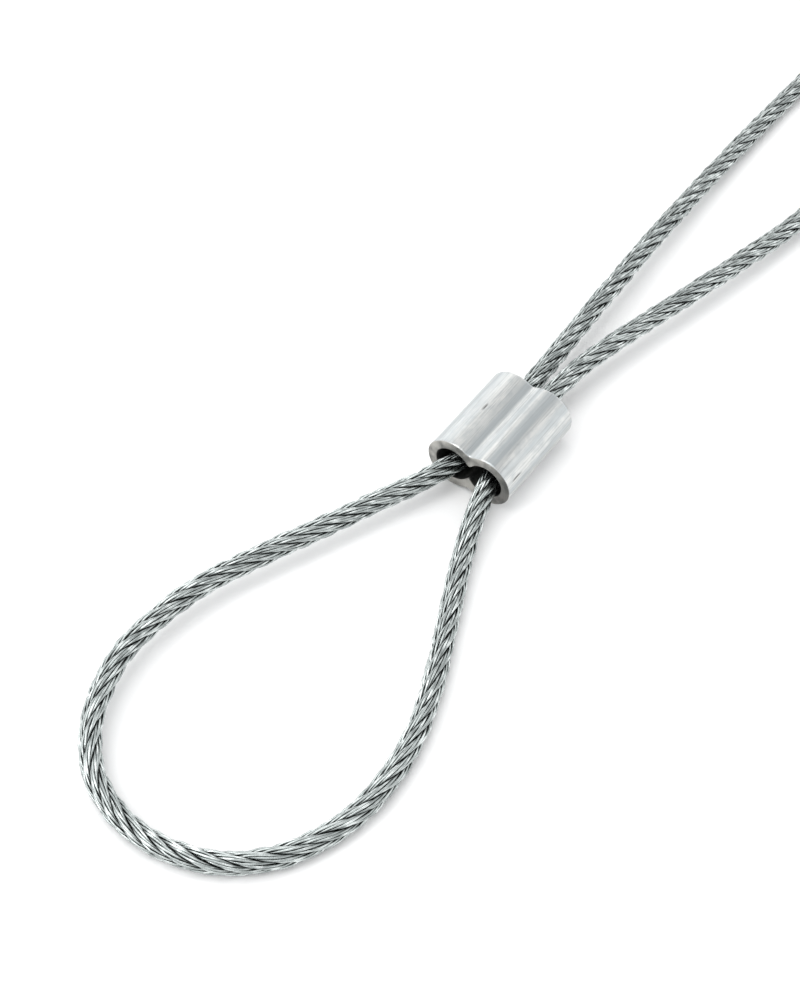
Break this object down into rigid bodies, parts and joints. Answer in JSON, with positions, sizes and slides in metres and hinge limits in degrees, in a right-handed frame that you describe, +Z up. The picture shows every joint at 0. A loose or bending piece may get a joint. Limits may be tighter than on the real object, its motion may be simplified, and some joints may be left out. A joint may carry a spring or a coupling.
{
  "type": "wire rope sling",
  "caption": "Short loop of galvanised wire rope, crimped at one end, with a loose double-barrel ferrule that slides along both legs and gathers an eye.",
  "frame": {"origin": "on the surface the sling lies on, below the middle of its bounding box", "axes": "+X along the sling from the tip of the eye to the closing ferrule, +Y to the left leg's side, +Z up"},
  "size_m": [0.2245, 0.034, 0.0069],
  "materials": {
    "wire_rope": "galvanised steel wires, dull grey with bright crowns",
    "satin_aluminium": "extruded and sawn, satin with fine lengthwise lines",
    "pressed_aluminium": "pressed, satin with die marks"
  },
  "bodies": {
    "sling": {"eye_rope": "wire_rope", "left_leg_rope": "wire_rope", "right_leg_end_rope": "wire_rope", "closing_ferrule": "pressed_aluminium"},
    "slide_ferrule": {"slide_ferrule": "satin_aluminium"},
    "right_leg_inner": {"right_leg_inner_rope": "wire_rope"},
    "right_leg_outer": {"right_leg_outer_rope": "wire_rope"}
  },
  "joints": [
    {"name": "ferrule_slide", "type": "slide", "parent": "sling", "child": "slide_ferrule", "axis": [1, 0, 0], "range_m": [0, 0.03]},
    {"name": "right_leg_inner_bend", "type": "hinge", "parent": "sling", "child": "right_leg_inner", "pos_m": [-0.033, -0.0026, 0.0034], "axis": [0, 0, 1], "range_deg": [0, 12]},
    {"name": "right_leg_outer_bend", "type": "hinge", "parent": "right_leg_inner", "child": "right_leg_outer", "pos_m": [-0.005, -0.009, 0.0027], "axis": [0, 0, 1], "range_deg": [-15.4, 0]}
  ],
  "couplings": [
    {"joint": "right_leg_inner_bend", "follows": "ferrule_slide", "rad_per_m": 6.975},
    {"joint": "right_leg_outer_bend", "follows": "ferrule_slide", "rad_per_m": -8.906}
  ]
}
